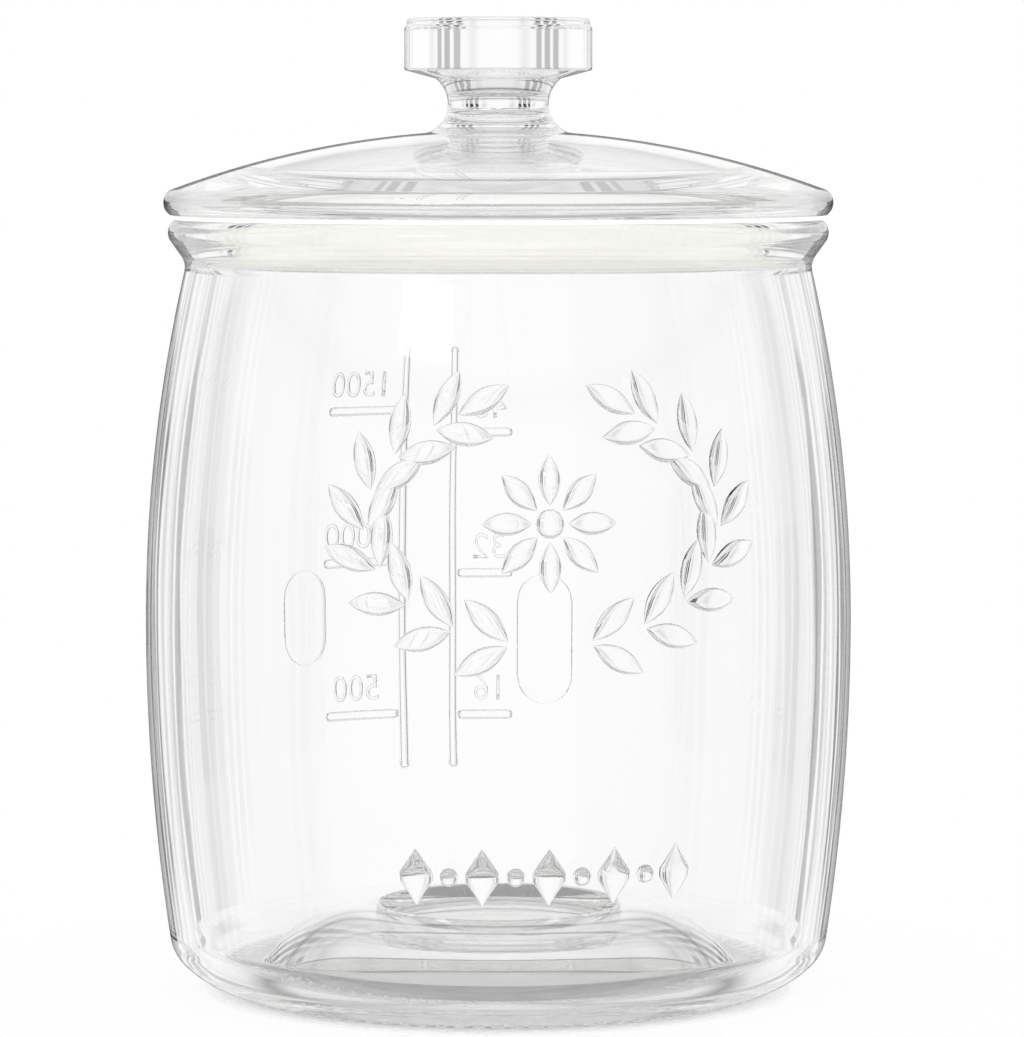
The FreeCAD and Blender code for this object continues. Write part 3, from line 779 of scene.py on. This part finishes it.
def grip_marks():
    """Slanting leaves right round the sole."""
    pitch = 2 * math.pi * GRIP_GIRTH / GRIP_COUNT
    height = SOLE_ARC - SOLE_ARC * (math.pi / 2 - GRIP_LEAN)
    leaf = GRIP_TILT, GRIP_LENGTH, GRIP_WIDTH, GRIP_RELIEF
    return [mark(LEAF, n * pitch, height, *leaf) for n in range(GRIP_COUNT)]


def raised_relief(glass):
    """Every mark of the jar as a plain mesh that lies on its wall."""
    tree, figures = marks_tree(), figures_tree()
    made = [
        by_nodes("grips", points_with("grip_points", grip_marks()), tree,
                 arc_below=SOLE_ARC * MM, arc_above=SOLE_ARC * MM, middle_height=SOLE_ARC * MM,
                 middle_radius=(SOLE_MIDDLE + SOLE_ARC) * MM, girth_radius=GRIP_GIRTH * MM,
                 ring_count=GRIP_RINGS, material=glass),
    ]
    for layer in ornament_marks():
        made.append(
            by_nodes("ornament", points_with("ornament_points", layer), tree,
                     turn=ORNAMENT_TURN, material=glass)
        )
    for entry in scale_marks():
        rings = RAIL_RINGS if entry[4] > LONG_MARK else TICK_RINGS
        made.append(
            by_nodes("scale_mark", points_with("scale_point", [entry]), tree,
                     turn=SCALE_TURN, ring_count=rings, material=glass)
        )
    for side, ticks, reach in SCALE_SIDES:
        for height, figure in ticks:
            along = side * (RAIL + SCALE_LINE + reach / 2)
            made.append(
                by_nodes("figure_" + figure, bpy.data.meshes.new("empty"), figures,
                         turn=SCALE_TURN, figures=figure, place_along=along * MM,
                         place_height=(height + FIGURE_LIFT) * MM, material=glass)
            )
    return made


# ---------------------------------------------------------------------------------------------
# Materials
# ---------------------------------------------------------------------------------------------


def new_material(name):
    """A material with its tree and its Principled shader."""
    material = bpy.data.materials.new(name)
    material.use_nodes = True
    tree = material.node_tree
    shader = tree.nodes["Principled BSDF"]
    return material, tree, shader


DRAWN_OUT = 0.12  # how much slower the waves in the glass run up the wall than round it
EVEN_BELOW, WAVY_ABOVE = 18 * MM, 34 * MM  # heights between which the waves set in


def ripple_group():
    """Slight waves in moulded glass, drawn out up and down the wall: a bent normal."""
    tree, come, go = group(
        "moulded_ripple",
        "ShaderNodeTree",
        (("Waves", "IN", "Float", 70.0), ("Depth", "IN", "Float", 0.3), ("Normal", "OUT", "Vector")),
    )
    place = tree.nodes.new("ShaderNodeTexCoord").outputs["Object"]
    x, y, z = apart(tree, place)
    noise = tree.nodes.new("ShaderNodeTexNoise")
    noise.inputs["Detail"].default_value = 2.0
    tree.links.new(together(tree, x, y, z * DRAWN_OUT), noise.inputs["Vector"])
    tree.links.new(come.outputs["Waves"], noise.inputs["Scale"])
    bump = tree.nodes.new("ShaderNodeBump")
    bump.inputs["Distance"].default_value = 0.1 * MM
    # the floor is pressed against the mould and stays even
    strength = Value(tree, come.outputs["Depth"]) * z.mapped(EVEN_BELOW, WAVY_ABOVE)
    feed(tree, strength, bump.inputs["Strength"])
    tree.links.new(noise.outputs["Fac"], bump.inputs["Height"])
    tree.links.new(bump.outputs[0], go.inputs["Normal"])
    return tree


def clear_glass(name, waves, depth):
    """Clear colourless glass; waves is how close its ripple is, depth how strong."""
    material, tree, shader = new_material(name)
    shader.inputs["Base Color"].default_value = (1, 1, 1, 1)
    shader.inputs["Roughness"].default_value = 0.0
    shader.inputs["IOR"].default_value = 1.5
    shader.inputs["Transmission Weight"].default_value = 1.0
    ripple = tree.nodes.new("ShaderNodeGroup")
    ripple.node_tree = RIPPLE
    ripple.inputs["Waves"].default_value = waves
    ripple.inputs["Depth"].default_value = depth
    tree.links.new(ripple.outputs["Normal"], shader.inputs["Normal"])
    return material


def seal_rubber():
    """Milky soft rubber with a faint mottle and a satin skin."""
    material, tree, shader = new_material("seal_rubber")
    noise = tree.nodes.new("ShaderNodeTexNoise")
    noise.inputs["Scale"].default_value = 90.0
    tint = tree.nodes.new("ShaderNodeMix")
    tint.data_type = "RGBA"
    tint.inputs["A"].default_value = (0.97, 0.965, 0.93, 1)
    tint.inputs["B"].default_value = (0.93, 0.925, 0.88, 1)
    tree.links.new(noise.outputs["Fac"], tint.inputs["Factor"])
    tree.links.new(tint.outputs["Result"], shader.inputs["Base Color"])
    bump = tree.nodes.new("ShaderNodeBump")
    bump.inputs["Distance"].default_value = 0.05 * MM
    bump.inputs["Strength"].default_value = 0.4
    tree.links.new(noise.outputs["Fac"], bump.inputs["Height"])
    tree.links.new(bump.outputs[0], shader.inputs["Normal"])
    shader.inputs["Roughness"].default_value = 0.45
    shader.inputs["IOR"].default_value = 1.41
    return material


def finish_piece(piece, material, node):
    """Shade a piece, give it its material, hang it on the root body and hide the part that it stands in
    for.
    """
    smooth(piece)
    piece.data.materials.clear()
    piece.data.materials.append(material)
    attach(piece, "root")
    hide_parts(node)
    print(piece.name, "triangles", sum(len(face.vertices) - 2 for face in piece.data.polygons))


def jar_with_relief(glass):
    """The turned jar and all the marks on it as one closed glass."""
    blank = turned("jar_turned", jar_outline(), 4.0)
    marks = []
    for mesh in raised_relief(glass):
        holder = bpy.data.objects.new(mesh.name, mesh)
        bpy.context.scene.collection.objects.link(holder)
        marks.append(holder)
    # the turned jar's own normals go with it into the joined glass
    values = {"marks_%d" % n: holder for n, holder in enumerate(marks)}
    whole = by_nodes("jar_glass", blank.data, joined_tree(len(marks)), material=glass, **values)
    for holder in marks + [blank]:
        bpy.data.objects.remove(holder)
    piece = bpy.data.objects.new("jar_glass", whole)
    bpy.context.scene.collection.objects.link(piece)
    return piece


RIPPLE = ripple_group()
jar_skin = clear_glass("jar_glass", 75.0, 0.35)
lid_skin = clear_glass("lid_glass", 60.0, 0.2)
finish_piece(jar_with_relief(jar_skin), jar_skin, "jar")
finish_piece(turned("lid_glass", lid_outline(), 3.0), lid_skin, "lid")
finish_piece(turned("seal_sleeve", ring_outline(), 3.0), seal_rubber(), "seal_ring")

# ---------------------------------------------------------------------------------------------
# Camera, stage and light
# ---------------------------------------------------------------------------------------------


CAMERA_BACK, CAMERA_HEIGHT, CAMERA_DOWN = 1.060, 0.17736, math.radians(4.3)


def place_camera():
    """A long lens a little above the lid, looking slightly down."""
    lens = bpy.data.cameras.new("camera")
    camera = bpy.data.objects.new("camera", lens)
    bpy.context.scene.collection.objects.link(camera)
    lens.lens = 177.05
    lens.sensor_width = 36
    lens.shift_x = 0.0132
    lens.clip_start, lens.clip_end = 0.01, 100
    camera.location = (0, -CAMERA_BACK, CAMERA_HEIGHT)
    camera.rotation_euler = (math.radians(90) - CAMERA_DOWN, 0, 0)
    bpy.context.scene.camera = camera


# place from the middle of an open side (0) to the middle of a dark card (1), and the level there
CARD_LEVELS = (
    (0.0, 1.0), (0.36, 0.97), (0.50, 0.72), (0.62, 0.95), (0.70, 0.95), (0.73, 0.06),
    (0.83, 0.06), (0.86, 0.95), (0.91, 0.95), (0.94, 0.02), (1.0, 0.02),
)
# place from the horizon (0) to straight overhead (1), and the level there
BAND_LEVELS = (
    (0.0, 1.0), (0.10, 0.98), (0.14, 0.80), (0.165, 0.25), (0.19, 0.80), (0.30, 0.85),
    (0.325, 0.25), (0.35, 0.85), (0.50, 0.80), (0.54, 0.25), (0.60, 0.65), (1.0, 0.50),
)
OPEN_SIDES = 8
CARD_WAVER = math.radians(5)  # how far the edges of the cards and sides wander
CARD_FOOT, CARD_TOP, CARD_SOFT = math.radians(-10.5), math.radians(-0.6), math.radians(0.9)
BELOW_SHARE = -0.35  # the bands are repeated below the horizon, drawn out by this
BOX_LEFT, BOX_RIGHT, BOX_SOFT = math.radians(-60), math.radians(24), math.radians(4)
WINDOW_LEFT, WINDOW_RIGHT, WINDOW_SIDE_SOFT = math.radians(-35), math.radians(-16.5), math.radians(0.6)
WINDOW_LOW, WINDOW_HIGH, WINDOW_END_SOFT = math.radians(17.5), math.radians(23.3), math.radians(0.4)
ROOM_LEVEL, BOX_LEVEL, WINDOW_LEVEL = 0.35, 0.35, 7.0
# the dark flags behind the object, in parts of a direction's unit length: from, to and softness
SIDE_FLAG_OUT, SIDE_FLAG_UP = (0.05, 0.42, 0.04), (-0.25, 0.01, 0.03)
TOP_FLAG_FULL, TOP_FLAG_GONE, TOP_FLAG_UP = 0.10, 0.16, (0.04, 0.13, 0.02)
FLAG_DARK = -0.9


def cards_and_bands(tree, y, turn, rise):
    """The level through the glass: dark cards round the object under soft bands overhead."""
    side_width = 2 * math.pi / OPEN_SIDES
    side = (turn / side_width).sum("ROUND") * side_width
    off_side = (turn - side).sum("ABSOLUTE") / (side_width / 2)
    cards = ramp(tree, off_side, CARD_LEVELS)
    # they leave the side behind the camera open, so that no wall mirrors them
    shown = y.mapped(-0.6, -0.2, 0, 1, smooth=True)
    # and they are low: half as dark above, so the knob and the lid are among softer greys
    low = rise.within(CARD_FOOT, CARD_TOP, CARD_SOFT)
    cards = (cards - 1.0) * shown * (low * 0.5 + 0.5) + 1.0
    bands = ramp(tree, rise.sum("MAXIMUM", rise * BELOW_SHARE) / math.radians(90), BAND_LEVELS)
    return cards * bands


def mirrored_level(x, y, z, rise):
    """The level mirrored in the glass: soft box and window in front, dark flags behind."""
    front = y.mapped(-0.1, 0.1, 1, 0, smooth=True)
    facing = x.sum("ARCTAN2", y * -1.0)
    box = facing.within(BOX_LEFT, BOX_RIGHT, BOX_SOFT)
    window = facing.within(WINDOW_LEFT, WINDOW_RIGHT, WINDOW_SIDE_SOFT)
    window = window * rise.within(WINDOW_LOW, WINDOW_HIGH, WINDOW_END_SOFT)
    boxes = box * BOX_LEVEL + window * WINDOW_LEVEL + ROOM_LEVEL
    # the flags draw the object's outline where the glass turns away: one at each side, one above
    aside = x.sum("ABSOLUTE")
    upright = aside.within(*SIDE_FLAG_OUT) * z.within(*SIDE_FLAG_UP)
    lying = aside.mapped(TOP_FLAG_FULL, TOP_FLAG_GONE, 1, 0) * z.within(*TOP_FLAG_UP)
    behind = upright.sum("MAXIMUM", lying) * FLAG_DARK + 1.0
    return boxes * front + behind * (front * -1.0 + 1.0)


def studio_group():
    """How bright the studio is in a direction, through the glass and mirrored in it."""
    tree, come, go = group(
        "studio_cards",
        "ShaderNodeTree",
        (("Direction", "IN", "Vector"), ("Through", "OUT", "Float"), ("Mirrored", "OUT", "Float")),
    )
    x, y, z = apart(tree, come.outputs["Direction"])
    noise = tree.nodes.new("ShaderNodeTexNoise")
    noise.inputs["Scale"].default_value = 4.0
    tree.links.new(come.outputs["Direction"], noise.inputs["Vector"])
    turn = y.sum("ARCTAN2", x) + (Value(tree, noise.outputs["Fac"]) - 0.5) * CARD_WAVER
    rise = z.sum("ARCTAN2", (x * x + y * y).sum("SQRT"))
    feed(tree, cards_and_bands(tree, y, turn, rise), go.inputs["Through"])
    feed(tree, mirrored_level(x, y, z, rise), go.inputs["Mirrored"])
    return tree


SOFT_LIFT = 0.80  # what the walls of glass take from the light on what is behind them


def studio(tree, direction):
    """The level that a ray meets: white for the camera, brighter for light on the floor and seal."""
    cards = tree.nodes.new("ShaderNodeGroup")
    cards.node_tree = STUDIO
    tree.links.new(direction, cards.inputs["Direction"])
    path = tree.nodes.new("ShaderNodeLightPath")
    sent = Value(tree, path.outputs["Is Transmission Ray"])
    glossy = Value(tree, path.outputs["Is Glossy Ray"])
    mirrored = glossy * (sent * -1.0 + 1.0)
    soft = Value(tree, path.outputs["Diffuse Depth"]).sum("GREATER_THAN", 0.5)
    by_glass = glossy.sum("MAXIMUM", sent) * (soft * -1.0 + 1.0)
    through = Value(tree, cards.outputs["Through"])
    level = through + (Value(tree, cards.outputs["Mirrored"]) - through) * mirrored
    return (level - 1.0) * by_glass + 1.0 + soft * SOFT_LIFT


FLOOR_RADIUS = 140 * MM
FLOOR_DROP = 0.1 * MM  # below the foot, so that no two skins share a place
# painted contact shadow: the floor's colour is made darker in a ring under the jar's standing ring
SHADE_RING_IN, SHADE_RING_OUT, SHADE_RING_SOFT = 45 * MM, 53.5 * MM, 1.5 * MM  # where the standing ring is close
THIN_FROM, THIN_TO, THIN_END = 53 * MM, 64 * MM, 130 * MM


def lay_floor():
    """A pale floor under the jar, with the jar's shadow and a painted contact shadow ring under its foot,
    that thins away round it.
    """
    bpy.ops.mesh.primitive_circle_add(vertices=96, radius=FLOOR_RADIUS, fill_type="NGON")
    floor = bpy.context.object
    floor.name = "floor"
    floor.location.z = -FLOOR_DROP
    material, tree, shader = new_material("pale_floor")
    shader.inputs["Roughness"].default_value = 0.9
    shader.inputs["Specular IOR Level"].default_value = 0.0
    place = tree.nodes.new("ShaderNodeNewGeometry").outputs["Position"]
    x, y, _ = apart(tree, place)
    reach = (x * x + y * y).sum("SQRT")
    # painted contact shadow: the base colour drops by 0.35 in the ring under the standing ring
    feed(tree, reach.within(SHADE_RING_IN, SHADE_RING_OUT, SHADE_RING_SOFT) * -0.35 + 0.97, shader.inputs["Base Color"])
    clear = tree.nodes.new("ShaderNodeBsdfTransparent")
    mix = tree.nodes.new("ShaderNodeMixShader")
    thin = reach.mapped(THIN_FROM, THIN_TO, 0.0, 0.92, smooth=True)
    feed(tree, thin + reach.mapped(THIN_TO, THIN_END, 0.0, 0.08), mix.inputs[0])
    out = tree.nodes["Material Output"]
    tree.links.new(shader.outputs[0], mix.inputs[1])
    tree.links.new(clear.outputs[0], mix.inputs[2])
    tree.links.new(mix.outputs[0], out.inputs["Surface"])
    floor.data.materials.append(material)


def light_world():
    """White surroundings whose level the studio gives in each direction."""
    world = bpy.data.worlds.new("studio")
    bpy.context.scene.world = world
    world.use_nodes = True
    tree = world.node_tree
    tree.nodes.clear()
    out = tree.nodes.new("ShaderNodeOutputWorld")
    backdrop = tree.nodes.new("ShaderNodeBackground")
    backdrop.inputs["Color"].default_value = (1, 1, 1, 1)
    place = tree.nodes.new("ShaderNodeTexCoord")
    feed(tree, studio(tree, place.outputs["Generated"]), backdrop.inputs["Strength"])
    tree.links.new(backdrop.outputs[0], out.inputs["Surface"])


STUDIO = studio_group()
place_camera()
lay_floor()
light_world()
scene = bpy.context.scene
scene.view_settings.view_transform = "Standard"
scene.cycles.max_bounces = 64
scene.cycles.transmission_bounces = 64
scene.cycles.glossy_bounces = 64
scene.cycles.transparent_max_bounces = 32
